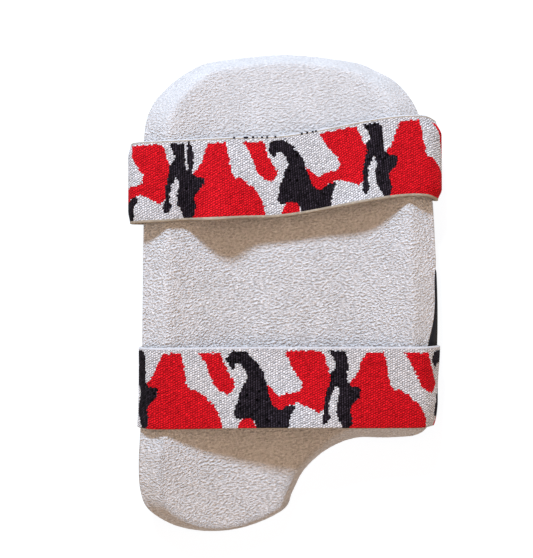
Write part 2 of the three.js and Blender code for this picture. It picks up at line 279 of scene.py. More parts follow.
class GuardForm(bpy.types.PropertyGroup):
    """Moulded form that the pad and its cover share"""

    flat_half_width: length("Flat half width", "Half of the flat strip down the middle of the front", 0.025)
    front_radius: length("Front radius", "Bend of the front on each side of the flat strip", 0.126)
    thickness: length("Thickness", "From the front to the towelling", 0.020)
    draft: length("Draft", "How far the edge wall leans in from the seam to the face", 0.008)
    lobe_draft: length("Lobe draft", "How far the edge wall leans in round the lobe", 0.0046)
    lobe_from: length("Lobe start", "Where along the pad the wall begins to steepen", -0.088)
    lobe_fade: length("Lobe fade", "Length in which the wall steepens", 0.020)
    crease_softness: FloatProperty(name="Crease softness", description="Share of the draft", default=0.22)
    wall_foot: length("Wall foot", "Height of the towelling at the seam", 0.0008)
    seam_round: length("Seam round", "How sharply a strap turns round the seam", 0.0015)
    cover_thickness: length("Cover thickness", "Cloth of the front cover", 0.002)
    seam_height: length("Seam height", "Cover's thickness at its seam", 0.0006)
    seam_reach: length("Seam reach", "Distance over which the cover thins to its seam", 0.009)
    lip_height: length("Lip height", "How far the cover climbs the right edge wall", 0.006)
    lip_y: length("Lip place", "Where along the right edge the cover climbs most", -0.040)
    lip_span: length("Lip span", "How far along the right edge the lip spreads", 0.018)
    rim_height: length("Rim height", "How far the cover climbs the rest of that wall", 0.0016)
    rim_from: length("Rim start", "Lower end of the rim along the right edge", -0.085)
    rim_to: length("Rim end", "Upper end of the rim along the right edge", 0.022)
    rim_fade: length("Rim fade", "Length in which the rim runs out", 0.017)
    lip_from: length("Lip start", "Developed distance from the middle past which the lip is", 0.060)
    gap: length("Gap", "Clearance between pieces that touch", 0.0003)


class Towelling(bpy.types.PropertyGroup):
    """White cotton towelling of the pad"""

    # The loops' colours hold painted light on their tops and painted shade in the pits between them
    tip_with_painted_light: colour("Tip colour", "Colour of the loops' tops", (0.93, 0.917, 0.942))
    pit_with_painted_shade: colour("Pit colour", "Colour between the loops", (0.535, 0.525, 0.532))
    # Painted shade: the steep wall round the lobe is coloured darker and warmer, in place of the shade on it
    lobe_wall_painted_shade: colour("Lobe wall tint", "Warmer tint of the steep wall round the lobe", (0.80, 0.73, 0.66))
    painted_shade_from: length("Tint start", "Where along the pad that tint begins", -0.08)
    painted_shade_to: length("Tint end", "Where along the pad that tint is full", -0.1)
    # The pressed pile flattens the bump and also darkens the colour towards the upper end, which is painted
    # shade
    pressed_from: length("Pressed start", "Where along the pad the pile begins to lie flatter", 0.075)
    pressed_to: length("Pressed end", "Where along the pad the pile lies flattest", 0.12)
    pressed_pile: FloatProperty(name="Pressed pile", description="Share of its height left", default=0.5)
    step: length("Step", "Spacing of the pad's surface points", 0.00097)
    loop_width: length("Loop width", "Spacing of the loops across the pad", 0.0024)
    loop_length: length("Loop length", "Spacing of the loops along the pad", 0.0021)
    loop_height: length("Loop height", "How far a loop stands up", 0.00022)
    seed: IntProperty(name="Seed", description="Start of the random places of the loops", default=7)


class CoverCloth(bpy.types.PropertyGroup):
    """Plain black woven cloth of the front"""

    cloth: colour("Cloth colour", "Colour of the black cloth", (0.007, 0.007, 0.009))
    thread: colour("Thread colour", "Colour of the topstitching", (0.02, 0.02, 0.023))
    step: length("Step", "Spacing of the cover's surface points", 0.0021)
    pucker: length("Pucker", "Depth of the puckers that the seam draws", 0.00025)
    stitch: length("Stitch", "Length of one stitch and the gap after it", 0.0042)
    inset: length("Inset", "Distance of the topstitching from the edge", 0.005)
    under: length("Under", "How far the cover's edge stays inside the pad's", 0.0016)
    thread_radius: length("Thread radius", "Half the thickness of the topstitching's thread", 0.00028)
    thread_rise: length("Thread rise", "How far a stitch arches off the cloth", 0.00015)


class StrapElastic(bpy.types.PropertyGroup):
    """Knitted camouflage elastic of both straps"""

    width: length("Width", "Width of the elastic with its edges", 0.0515)
    thickness: length("Thickness", "Thickness of the elastic", 0.002)
    clearance: length("Clearance", "Between a strap and the pad that it folds round", 0.001)
    fold_round: length("Fold round", "How sharply a strap turns over the pad's edge", 0.009)
    tail_end: length("Tail end", "Developed distance from the middle to a strap's end", 0.058)
    tail_ramp: length("Tail ramp", "Length in which a strap leaves what holds its end", 0.008)
    relief: length("Stitch relief", "How far a knitted stitch stands up", 0.00016)
    red: colour("Red yarn", "Red of the camouflage", (0.58, 0.008, 0.015))
    black: colour("Black yarn", "Black of the camouflage", (0.014, 0.011, 0.015))
    white: colour("White yarn", "White ground of the camouflage", (0.58, 0.575, 0.60))
    natural: colour("Natural yarn", "Undyed yarn and rubber at the edges and back", (0.38, 0.325, 0.26))


class HookAndLoop(bpy.types.PropertyGroup):
    """Hook-and-loop pieces under the straps' right ends"""

    black: colour("Tape colour", "Colour of the tape", (0.012, 0.012, 0.014))
    thickness: length("Thickness", "Thickness of the tape", 0.0012)
    width: length("Width", "Width of the tape along the pad", 0.056)
    inner: length("Inner edge", "Developed distance from the middle to the inner edge", 0.055)
    outer: length("Outer edge", "Developed distance from the middle to the outer edge", 0.074)


class Studio(bpy.types.PropertyGroup):
    """Camera, floor and light"""

    camera_height: length("Camera height", "Height of the camera above the floor", 0.70)
    camera_x: length("Camera place across", "Where the camera stands across the guard", -0.0124)
    camera_y: length("Camera place along", "Where the camera stands along the guard", 0.0092)
    view_height: length("View height", "What the picture's height takes in at the pad's level", 0.3655)
    view_level: length("View level", "Height of the level that the view is measured at", 0.022)
    key_power: watts("Key power", "Power of the cool light", 19.5)
    key_tint: colour("Key colour", "Colour of the key light", (0.605, 0.79, 1.0))
    key_size: length("Key size", "Side of the square key light", 0.18)
    key_place: spot("Key place", "Above the upper end and to the left", (-0.246, 0.918, 0.907))
    fill_tint: colour("Fill colour", "Colour of the warm light from all round", (1.0, 0.72, 0.51))
    fill_power: FloatProperty(name="Fill strength", description="Light from all round", default=0.45)
    top_power: watts("Top power", "Power of the warm light overhead", 9)
    top_size: length("Top size", "Side of the square light overhead", 1.4)
    top_place: spot("Top place", "Straight above the guard", (0.0, 0.0, 1.8))
    floor: colour("Floor colour", "Colour of the plain floor", (0.22, 0.22, 0.22))
    floor_glow: colour("Floor glow", "Light that the lit floor gives off", (0.86, 0.89, 0.92))
    floor_half: length("Floor half width", "Half the side of the square floor", 4.0)
    floor_drop: length("Floor drop", "How far the floor lies under the guard", 0.0006)


class ThighGuard(bpy.types.PropertyGroup):
    """All settings of the guard"""

    form: PointerProperty(type=GuardForm)
    towelling: PointerProperty(type=Towelling)
    cover: PointerProperty(type=CoverCloth)
    strap: PointerProperty(type=StrapElastic)
    tape: PointerProperty(type=HookAndLoop)
    studio: PointerProperty(type=Studio)


# Shared curves and the flat pattern

def smooth(x):
    """Rises from 0 to 1 with level ends while x goes from 0 to 1."""
    t = np.clip(x, 0, 1)
    return t * t * (3 - 2 * t)


def bend(form, u, v, w):
    """The flat, developed pad bent to its trough: past the flat strip a point goes round an arc of the
    front's radius less its own depth w, by its distance from the strip over that radius."""
    past = np.maximum(np.abs(u) - form.flat_half_width, 0)
    angle = past / form.front_radius
    arm = form.front_radius - w
    x = np.sign(u) * (np.minimum(np.abs(u), form.flat_half_width) + arm * np.sin(angle))
    z = form.front_radius - arm * np.cos(angle)
    return np.stack(np.broadcast_arrays(x, v, z), -1)


def unroll(form, x):
    """The developed distance of a front point that is seen at x from above, as the arc's sine turned back."""
    past = np.maximum(np.abs(x) - form.flat_half_width, 0)
    arc = form.front_radius * np.arcsin(past / form.front_radius)
    return np.sign(x) * (np.minimum(np.abs(x), form.flat_half_width) + arc)


def wall_share(form, distance, draft):
    """How much of its height the edge wall still has to climb at a distance from the edge: a straight draft
    turned softly into the level face, as x plus the hypotenuse of x and the softness, over its value at the
    edge, where x is 1 less the distance over the draft."""
    lean, full = (x + np.hypot(x, form.crease_softness) for x in (1 - distance / draft, 1.0))
    return lean / full


def wall_run(form):
    """Distances from the edge, and the lengths run over the towelling from the edge up to each of them."""
    distance = np.linspace(0, EDGE_BAND, WALL_STEPS)
    height = (form.thickness - form.wall_foot) * (1 - wall_share(form, distance, form.draft))
    return distance, np.append(0, np.cumsum(np.hypot(np.diff(distance), np.diff(height))))


def closed_spline(points, at):
    """Points at the parameters at of a closed curve, one unit from each control point to the next: the cubic
    that passes each pair with slopes of half the step between their neighbours."""
    count = len(points)
    first = np.floor(at).astype(int)
    f = (at - first)[:, None]
    p0, p1, p2, p3 = (points[(first + k) % count] for k in (-1, 0, 1, 2))
    square, cube = 2 * p0 - 5 * p1 + 4 * p2 - p3, 3 * (p1 - p2) + p3 - p0
    return 0.5 * (2 * p1 + (p2 - p0) * f + square * f**2 + cube * f**3)


class FlatPattern:
    """The guard's flat pattern in developed metres: its outline and the points inside it"""

    def __init__(self, form):
        self.form = form
        runs = [SIDES["bottom"], SIDES["right"], SIDES["top"][::-1], SIDES["left"][::-1]]
        corners = np.cumsum([0] + [len(run) - 1 for run in runs])
        loop = np.array([point for run in runs for point in run[:-1]]) * MM
        loop[:, 0] = unroll(form, loop[:, 0])
        self.outline = closed_spline(loop, np.linspace(0, len(loop), OUTLINE_STEPS + 1))
        self.along = np.append(0, np.cumsum(np.linalg.norm(np.diff(self.outline, axis=0), axis=1)))
        self.sides = []
        for start, end in zip(corners, corners[1:]):
            points = closed_spline(loop, np.linspace(start, end, SIDE_STEPS + 1))
            reached = np.append(0, np.cumsum(np.linalg.norm(np.diff(points, axis=0), axis=1)))
            self.sides.append((reached / reached[-1], points))
        lowest = bend(form, self.outline[:, 0], self.outline[:, 1], 0.0).min(0)
        self.shift = np.array(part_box("front_cover")[0]) - lowest

    def side(self, which, share):
        """The point of one side at a share of its length."""
        shares, points = self.sides[which]
        return np.stack([np.interp(share, shares, points[:, k]) for k in (0, 1)], -1)

    def point(self, s, t):
        """A Coons patch: the sides below and above blended by t, plus those left and right blended by s, less
        the corners blended by both."""
        s, t = np.broadcast_arrays(s, t)
        total = self.side(0, s) * (1 - t)[..., None] + self.side(2, 1 - s) * t[..., None]
        total += self.side(3, 1 - t) * (1 - s)[..., None] + self.side(1, t) * s[..., None]
        for corner_s, corner_t in ((0, 0), (1, 0), (0, 1), (1, 1)):
            corner = self.side(0 if corner_t == 0 else 2, corner_s if corner_t == 0 else 1 - corner_s)
            weight = (s if corner_s else 1 - s) * (t if corner_t else 1 - t)
            total -= weight[..., None] * corner
        return total

    def nearest(self, points):
        """For developed points, the distance to the outline, the outline's outward direction there and how
        far along the outline it is."""
        start, step = self.outline[:-1], np.diff(self.outline, axis=0)
        squared = (step**2).sum(-1)
        flat = points.reshape(-1, 2)
        distance, along = np.empty(len(flat)), np.empty(len(flat))
        out = np.empty_like(flat)
        for part in np.array_split(np.arange(len(flat)), len(flat) // NEAREST_AT_A_TIME + 1):
            offset = flat[part, None] - start
            share = np.clip((offset * step).sum(-1) / squared, 0, 1)
            gaps = np.linalg.norm(offset - share[..., None] * step, axis=-1)
            which = gaps.argmin(1)
            rows = np.arange(len(part))
            distance[part] = gaps[rows, which]
            along[part] = self.along[which] + share[rows, which] * np.sqrt(squared[which])
            out[part] = np.stack([step[which, 1], -step[which, 0]], -1) / np.sqrt(squared[which])[:, None]
        shape = points.shape[:-1]
        return distance.reshape(shape), out.reshape(points.shape), along.reshape(shape)

    def edge_at(self, side, v):
        """The developed distance of the right (1) or left (-1) edge at a height v."""
        a, b = self.outline[:-1], self.outline[1:]
        crossing = (a[:, 1] - v) * (b[:, 1] - v) <= 0
        rise = np.where(b[:, 1] == a[:, 1], 1, b[:, 1] - a[:, 1])
        u = a[:, 0] + (b[:, 0] - a[:, 0]) * np.clip((v - a[:, 1]) / rise, 0, 1)
        return (side * u[crossing]).max()

    def area(self):
        """Flat area inside the outline, by the shoelace sum."""
        x, y = self.outline[:-1].T
        return 0.5 * abs(np.sum(x * np.roll(y, -1) - y * np.roll(x, -1)))

    def lip(self, u, v):
        """How far the cover climbs the edge wall on the right: a bell curve along it, and a low rim that runs
        out at both ends."""
        form = self.form
        bell = np.exp(-(((v - form.lip_y) / form.lip_span) ** 2))
        rim = smooth((v - form.rim_from) / form.rim_fade) * smooth((form.rim_to - v) / form.rim_fade)
        climb = form.lip_height * bell + form.rim_height * rim
        return climb * smooth((u - form.lip_from) / form.seam_reach)

    def seam(self, u, v, distance):
        """Height of the face where cover and towelling meet: level inside, thinned to the seam at the edge,
        and climbing the wall on the right."""
        form = self.form
        near = 1 - smooth(distance / form.seam_reach)
        return form.cover_thickness + (form.seam_height - form.cover_thickness + self.lip(u, v)) * near

    def towel(self, u, v, distance):
        """Height of the towelling's face, from its foot at the seam up the edge wall to the pad's thickness.
        The wall is steeper round the lobe."""
        form = self.form
        draft = form.draft + (form.lobe_draft - form.draft) * smooth((form.lobe_from - v) / form.lobe_fade)
        foot = form.seam_height + self.lip(u, v) + form.gap + form.wall_foot
        return form.thickness - (form.thickness - foot) * wall_share(form, distance, draft)

    def leaning(self, u, v, distance):
        """Distance across, drawn in along the leaning wall by as much as the cover climbs there."""
        form = self.form
        slope = form.draft / (form.thickness - form.seam_round)
        return u - slope * self.lip(u, v) * (1 - smooth(distance / form.seam_reach))


# Meshes from grids and rings

def grid_faces(rows, columns, start=0):
    """Four-cornered faces of a grid of points, facing its rows crossed with its columns."""
    at = start + np.arange(rows * columns).reshape(rows, columns)
    return np.stack([at[:-1, :-1], at[1:, :-1], at[1:, 1:], at[:-1, 1:]], -1).reshape(-1, 4)


def perimeter(grid):
    """The border of a grid, once round, against the clock as seen from the side that its faces show."""
    return np.concatenate([grid[:-1, 0], grid[-1, :-1], grid[:0:-1, -1], grid[0, :0:-1]])


def ring_faces(upper, lower):
    """Faces of the wall from one ring of point numbers down to the next."""
    return np.stack([lower, np.roll(lower, -1), np.roll(upper, -1), upper], -1)


def grid_normals(grid):
    """Unit normals of a grid of points: its steps along rows crossed with its steps along columns."""
    normal = np.cross(np.gradient(grid, axis=0), np.gradient(grid, axis=1))
    return normal / np.maximum(np.linalg.norm(normal, axis=-1, keepdims=True), 1e-12)


def ring_numbers(rows, columns, rings):
    """Point numbers of a grid's border and of the rings stored after the grid, each as long as the border."""
    border = perimeter(np.arange(rows * columns).reshape(rows, columns))
    after = rows * columns + np.arange(rings * len(border)).reshape(rings, len(border))
    return [border, *after]


def closed_skin(upper, rings, lower):
    """A closed skin: an upper grid, rings of wall points below its border, and a lower grid with the same
    number of rows and columns. Returns points and faces, the upper grid's first and the lower's last."""
    rows, columns = upper.shape[:2]
    chain = ring_numbers(rows, columns, len(rings))
    below = rows * columns + len(rings) * len(chain[0])
    chain.append(below + chain[0])
    walls = [ring_faces(a, b) for a, b in zip(chain, chain[1:])]
    points = np.concatenate([upper.reshape(-1, 3), *rings, lower.reshape(-1, 3)])
    top, bottom = grid_faces(rows, columns), grid_faces(rows, columns, below)[:, ::-1]
    return points, np.concatenate([top, *walls, bottom])


def add_piece(name, points, faces, material):
    """A smooth mesh object at the origin with its place in its points, riding on the guard."""
    mesh = bpy.data.meshes.new(name)
    mesh.from_pydata(points.tolist(), [], faces if isinstance(faces, list) else faces.tolist())
    if mesh.validate():
        raise RuntimeError(f"the mesh of {name} has faults")
    mesh.shade_smooth()
    mesh.materials.append(material)
    piece = bpy.data.objects.new(name, mesh)
    bpy.context.scene.collection.objects.link(piece)
    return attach(piece, BODY)


def set_uv(mesh, uv):
    """Gives each point's flat place to the corners of its faces as a UV map."""
    corners = np.empty(len(mesh.loops), np.int32)
    mesh.loops.foreach_get("vertex_index", corners)
    layer = mesh.uv_layers.new(name="cloth")
    layer.data.foreach_set("uv", uv[corners].astype(np.float32).ravel())


def set_values(mesh, name, values):
    """Stores one number for each point."""
    mesh.attributes.new(name, "FLOAT", "POINT").data.foreach_set("value", values.astype(np.float32))


def set_face_colours(mesh, name, colours):
    """Stores one colour with alpha for each four-cornered face, on its corners."""
    layer = mesh.color_attributes.new(name, "FLOAT_COLOR", "CORNER")
    layer.data.foreach_set("color", np.repeat(colours, 4, axis=0).astype(np.float32).ravel())


# Materials

def shader(name):
    """A new node material and its Principled shader."""
    material = bpy.data.materials.new(name)
    material.use_nodes = True
    return material, material.node_tree, material.node_tree.nodes["Principled BSDF"]


def node(tree, kind, inputs, **settings):
    """A shader node with its settings made, its constant inputs set and its other inputs linked."""
    made = tree.nodes.new(kind)
    for key, value in settings.items():
        setattr(made, key, value)
    for key, value in inputs.items():
        if isinstance(value, bpy.types.NodeSocket):
            tree.links.new(value, made.inputs[key])
        else:
            made.inputs[key].default_value = value
    return made


def mix(tree, factor, first, second, blend_type="MIX"):
    """A colour mixed from two by a factor."""
    inputs = {0: factor, 6: first, 7: second}
    return node(tree, "ShaderNodeMix", inputs, data_type="RGBA", blend_type=blend_type).outputs[2]


def math_node(tree, operation, *values):
    """One step of arithmetic."""
    return node(tree, "ShaderNodeMath", dict(enumerate(values)), operation=operation).outputs[0]


def noise(tree, place, scale, detail):
    """Soft noise at a place."""
    return node(tree, "ShaderNodeTexNoise", {"Vector": place, "Scale": scale, "Detail": detail}).outputs[0]


def ranged(tree, value, low, high, start=0.0, end=1.0):
    """A value taken from the range of start to end to the range of low to high, and held at its ends."""
    limits = {0: value, 1: start, 2: end, 3: low, 4: high}
    return node(tree, "ShaderNodeMapRange", limits).outputs[0]


def add_share(tree, base, value, share):
    """A value plus a share of another."""
    return math_node(tree, "MULTIPLY_ADD", value, share, base)


def axes(tree, vector):
    """The three axes of a vector."""
    return node(tree, "ShaderNodeSeparateXYZ", {0: vector}).outputs


def object_place(tree):
    """A place in the part's own frame."""
    return node(tree, "ShaderNodeTexCoord", {}).outputs["Object"]


def cloth_place(tree):
    """A place on the flat cloth, from the piece's UV map."""
    return node(tree, "ShaderNodeUVMap", {}, uv_map="cloth").outputs[0]


def stored(tree, name):
    """What the mesh stores under a name."""
    return node(tree, "ShaderNodeAttribute", {}, attribute_name=name).outputs


def rgba(tint):
    """A colour property with full alpha."""
    return (*tint, 1.0)


def toned(tint, share):
    """A colour made lighter or darker by a share, with full alpha."""
    return (*(share * channel for channel in tint), 1.0)


def set_sockets(bsdf, values):
    """Sets the shader's own constants."""
    for key, value in values.items():
        bsdf.inputs[key].default_value = value


def link_surface(tree, bsdf, base, rough, relief, strength, depth):
    """Links a shader's colour and roughness, and a relief as a bump of a strength and a depth in metres."""
    raised = {"Strength": strength, "Distance": depth, "Height": relief}
    bump = node(tree, "ShaderNodeBump", raised).outputs[0]
    for name, value in (("Base Color", base), ("Roughness", rough), ("Normal", bump)):
        tree.links.new(value, bsdf.inputs[name])


def towelling_material(towel):
    """Loops that lie nearly across the pad: noise stretched along them, painted light on their tops and
    painted shade between them, over the loops of the mesh, with finer noise for the fibres and a soft
    mottling. The pile is pressed flatter towards the upper end, which also darkens the colour there as
    painted shade, and the steep wall round the lobe has painted shade, its colour made darker and warmer."""
    material, tree, bsdf = shader("towelling")
    place = object_place(tree)
    along = axes(tree, place)[1]
    turn = {"Vector": cloth_place(tree), "Rotation": (0, 0, -0.2)}
    turned = node(tree, "ShaderNodeMapping", turn).outputs[0]
    laid = node(tree, "ShaderNodeMapping", {"Vector": turned, "Scale": (0.5, 0.77, 1)}).outputs[0]
    loops = noise(tree, laid, scale=1.0, detail=2.0)
    fibres = noise(tree, place, scale=1500.0, detail=2.0)
    mottle = noise(tree, place, scale=70.0, detail=3.0)
    # The pressed pile lowers the relief, which also darkens the colour towards the upper end: painted shade
    pile = ranged(
        tree, along, low=1.0, high=towel.pressed_pile, start=towel.pressed_from, end=towel.pressed_to,
    )
    relief = ranged(tree, loops, low=0.0, high=pile, start=0.3, end=0.7)
    # Painted light and shade: the colour is lighter where the loops stand high and darker between them
    lit = add_share(tree, relief, stored(tree, "loop_height")["Fac"], share=0.2)
    shade = ranged(tree, lit, low=0.0, high=1.0, start=0.05, end=1.05)
    shaded = mix(tree, shade, rgba(towel.pit_with_painted_shade), rgba(towel.tip_with_painted_light))
    tone = ranged(tree, mottle, low=0.95, high=1.04, start=0.3, end=0.7)
    mottled = mix(tree, 1.0, shaded, tone, "MULTIPLY")
    # Painted shade on the steep wall round the lobe: its colour is made darker and warmer there
    facing = node(tree, "ShaderNodeNewGeometry", {}).outputs["Normal"]
    steep = ranged(tree, axes(tree, facing)[2], low=0.0, high=1.0, start=0.85, end=0.4)
    lobe = ranged(tree, along, low=0.0, high=1.0, start=towel.painted_shade_from, end=towel.painted_shade_to)
    painted_shade_share = math_node(tree, "MULTIPLY", steep, lobe)
    tint = mix(tree, painted_shade_share, (1.0, 1.0, 1.0, 1.0), rgba(towel.lobe_wall_painted_shade))
    base = mix(tree, 1.0, mottled, tint, "MULTIPLY")
    rough = ranged(tree, fibres, low=0.86, high=1.0)
    fuzzy = add_share(tree, relief, fibres, share=0.4)
    link_surface(tree, bsdf, base, rough, fuzzy, strength=1.0, depth=0.0013)
    set_sockets(bsdf, {"Specular IOR Level": 0.15, "Sheen Weight": 0.1, "Sheen Roughness": 0.55})
    return material


def cover_material(cover):
    """A plain weave: two sets of threads as waves across each other, with uneven wear and dust."""
    material, tree, bsdf = shader("cover_cloth")
    place = object_place(tree)
    threads = {"Vector": cloth_place(tree), "Scale": 0.55, "Distortion": 0.4, "Detail": 1.0}
    waves = [
        node(tree, "ShaderNodeTexWave", threads, bands_direction=direction).outputs["Fac"]
        for direction in ("X", "Y")
    ]
    weave = math_node(tree, "MAXIMUM", *waves)
    wear = noise(tree, place, scale=45.0, detail=4.0)
    fuzz = noise(tree, place, scale=1500.0, detail=2.0)
    faded = math_node(tree, "MULTIPLY", weave, wear)
    base = mix(tree, faded, rgba(cover.cloth), toned(cover.cloth, share=2.2))
    rough = ranged(tree, wear, low=0.62, high=0.9)
    relief = add_share(tree, weave, fuzz, share=0.2)
    link_surface(tree, bsdf, base, rough, relief, strength=0.5, depth=0.0003)
    set_sockets(bsdf, {"Specular IOR Level": 0.15, "Sheen Weight": 0.03, "Sheen Roughness": 0.4})
    return material


def strap_material():
    """Knitted columns of uneven stitches that slant up to the right: the yarn's own colour, with painted
    light on each stitch and painted shade in the grooves between columns and between stitches. The stitches
    are a strong rising wave and a weaker falling one, bent by noise. The colour's alpha is how much of that a
    place has."""
    material, tree, bsdf = shader("strap_elastic")
    flat = cloth_place(tree)
    yarn = stored(tree, "yarn")
    soft = node(tree, "ShaderNodeTexNoise", {"Vector": flat, "Scale": 0.8, "Detail": 1.0}).outputs["Color"]
    middle = {0: soft, 1: (0.5, 0.5, 0.5)}
    centred = node(tree, "ShaderNodeVectorMath", middle, operation="SUBTRACT").outputs[0]
    bent = {0: centred, 1: (1.0, 1.3, 0), 2: flat}
    moved = node(tree, "ShaderNodeVectorMath", bent, operation="MULTIPLY_ADD").outputs[0]
    column, row, _ = axes(tree, moved)
    groove = math_node(tree, "COSINE", math_node(tree, "MULTIPLY", column, 2 * math.pi))
    across = math_node(tree, "MULTIPLY", column, math.pi)
    rising = math_node(tree, "SINE", add_share(tree, across, row, share=-2 * math.pi))
    falling = math_node(tree, "SINE", add_share(tree, across, row, share=2 * math.pi))
    ribbed = add_share(tree, 0.5, groove, share=-GROOVE_WAVE)
    slanted = add_share(tree, ribbed, rising, share=RISING_WAVE)
    height = add_share(tree, slanted, falling, share=FALLING_WAVE)
    fibres = noise(tree, object_place(tree), scale=1800.0, detail=3.0)
    # Painted light and shade: the yarn's colour is lighter on each stitch and darker in the grooves
    shade = ranged(tree, height, low=0.05, high=1.45, start=0.13, end=0.72)
    tone = ranged(tree, fibres, low=0.85, high=1.15, start=0.25, end=0.75)
    knitted = mix(tree, 1.0, yarn["Color"], math_node(tree, "MULTIPLY", shade, tone), "MULTIPLY")
    base = mix(tree, yarn["Alpha"], yarn["Color"], knitted)
    rough = ranged(tree, fibres, low=0.6, high=0.9)
    uneven = add_share(tree, height, fibres, share=0.2)
    relief = math_node(tree, "MULTIPLY", uneven, yarn["Alpha"])
    link_surface(tree, bsdf, base, rough, relief, strength=0.8, depth=0.0004)
    set_sockets(bsdf, {"Specular IOR Level": 0.03})
    return material


def tape_material(tape):
    """Black tape with the small hooks of a hook-and-loop piece as cells."""
    material, tree, bsdf = shader("hook_and_loop")
    cells = {"Vector": object_place(tree), "Scale": 900.0}
    hooks = node(tree, "ShaderNodeTexVoronoi", cells).outputs["Distance"]
    base = mix(tree, hooks, rgba(tape.black), toned(tape.black, share=3.0))
    rough = ranged(tree, hooks, low=0.5, high=0.85)
    link_surface(tree, bsdf, base, rough, hooks, strength=0.6, depth=0.0004)
    return material


def thread_material(name, tint):
    """Twisted sewing thread: a fine diagonal wave in its relief and its colour."""
    material, tree, bsdf = shader(name)
    strands = {"Vector": object_place(tree), "Scale": 900.0, "Distortion": 1.0}
    twist = node(tree, "ShaderNodeTexWave", strands, bands_direction="DIAGONAL").outputs["Fac"]
    base = mix(tree, twist, toned(tint, share=0.7), rgba(tint))
    rough = ranged(tree, twist, low=0.6, high=0.8)
    link_surface(tree, bsdf, base, rough, twist, strength=0.4, depth=0.0001)
    return material


# The pad

def graded(size, step, distance, run):
    """Shares from edge to edge of a size: near both edges, even steps of the run along the cloth, which is
    given for each distance from the edge, and even steps between them."""
    near = np.interp(np.linspace(0, run[-1], round(run[-1] / step) + 1), run, distance) / size
    inner = np.linspace(near[-1], 1 - near[-1], round(size * (1 - 2 * near[-1]) / step) + 1)
    return np.concatenate([near, inner[1:-1], 1 - near[::-1]])


def loop_relief(flat, towel):
    """Height from 0 to 1 of the towelling: one loop stands in each cell of a grid, moved and turned at
    random, as an oval bump, and a point takes the highest of the bumps of its own cell and the eight round
    it."""
    rng = np.random.default_rng(towel.seed)
    table = rng.random((LOOP_CELLS, LOOP_CELLS, 4))
    at = flat / np.array([towel.loop_width, towel.loop_length])
    own = np.floor(at).astype(int)
    best = np.zeros(flat.shape[:-1])
    for across in (-1, 0, 1):
        for along in (-1, 0, 1):
            which = own + (across, along)
            draw = table[which[..., 0] % LOOP_CELLS, which[..., 1] % LOOP_CELLS]
            offset = at - which - LOOP_START - LOOP_SPREAD * draw[..., :2]
            turn = (draw[..., 2] - 0.5) * LOOP_TURN
            c, s = np.cos(turn), np.sin(turn)
            run = (offset[..., 0] * c + offset[..., 1] * s) / LOOP_HALF_LENGTH
            side = (offset[..., 1] * c - offset[..., 0] * s) / LOOP_HALF_WIDTH
            tall = LOOP_LOWEST + (1 - LOOP_LOWEST) * draw[..., 3]
            best = np.maximum(best, tall * np.exp(-(run**2) - side**2))
    return best


def pad_edge(form, pattern, edge, out):
    """Two rings below the border of the pad's face: one straight under the edge and one a little further in.
    Where the cover climbs the wall, both stay out on the height of the seam."""
    lipped = smooth(pattern.lip(edge[:, 0], edge[:, 1]) / LIP_SHOWS)
    rings = []
    for inset in (0.0, EDGE_TUCK):
        u, v = (edge - out * (inset * (1 - lipped))[:, None]).T
        low = EDGE_LIFT + (pattern.seam(u, v, inset) + form.gap - EDGE_LIFT) * lipped
        rings.append(bend(form, pattern.leaning(u, v, inset), v, low))
    return rings


def pad_underside(form, pattern, border):
    """Rings that close the underside on the cover, as the border's shares of the pattern drawn in towards its
    middle, and the pole there. Each is a pair of bent points and flat ones."""
    rings = []
    for size in UNDERSIDE_RINGS:
        flat = pattern.point(*(0.5 + (share - 0.5) * size for share in border))
        near, _, _ = pattern.nearest(flat)
        u, v = flat.T
        under = pattern.seam(u, v, near) + form.gap
        rings.append((bend(form, pattern.leaning(u, v, near), v, under), flat))
    pole = pattern.point(np.array([0.5]), np.array([0.5]))
    rings.append((bend(form, pole[:, 0], pole[:, 1], form.cover_thickness + form.gap), pole))
    return rings


def pad_faces(rows, columns, rings):
    """Faces of the upper grid, of the walls from its border through the rings, and of the fan to the pole."""
    chain = ring_numbers(rows, columns, rings)
    faces = grid_faces(rows, columns).tolist()
    for upper, lower in zip(chain, chain[1:]):
        faces += ring_faces(upper, lower).tolist()
    last = chain[-1]
    fan = np.stack([np.full(len(last), last[-1] + 1), np.roll(last, -1), last], -1)
    return faces + fan.tolist()


def pad_surface(form, towel, pattern):
    """The pad: its upper face is the flat pattern at the towelling's height, which falls to the seam as a
    leaning wall, its edge goes down and a little under, and its underside closes in rings to a pole. Loops
    stand out along the normals, laid out on the cloth as if it were unrolled."""
    distances, runs = wall_run(form)
    size = np.ptp(pattern.outline, axis=0)
    s = graded(size[0], towel.step, distances, runs)[:, None]
    t = graded(size[1], towel.step, distances, runs)[None]
    flat = pattern.point(s, t)
    distance, out, _ = pattern.nearest(flat)
    u, v = flat[..., 0], flat[..., 1]
    face = bend(form, pattern.leaning(u, v, distance), v, pattern.towel(u, v, distance))
    gained = runs[-1] - np.interp(distance, distances, runs) - np.maximum(EDGE_BAND - distance, 0)
    cloth = flat + out * gained[..., None]
    height = loop_relief(cloth, towel)
    face = face + grid_normals(face) * (height * towel.loop_height)[..., None]

    levels = [(face.reshape(-1, 3), cloth.reshape(-1, 2), height.ravel())]
    for ring in pad_edge(form, pattern, perimeter(flat), perimeter(out)):
        levels.append((ring, perimeter(cloth), LOOP_ON_EDGE * perimeter(height)))
    border = [perimeter(np.broadcast_to(share, flat.shape[:2])) for share in (s, t)]
    for ring, ring_flat in pad_underside(form, pattern, border):
        levels.append((ring, ring_flat, np.zeros(len(ring))))
    points, cloths, heights = (np.concatenate(column) for column in zip(*levels))
    return points + pattern.shift, pad_faces(*flat.shape[:2], len(levels) - 2), cloths, heights


# The cover

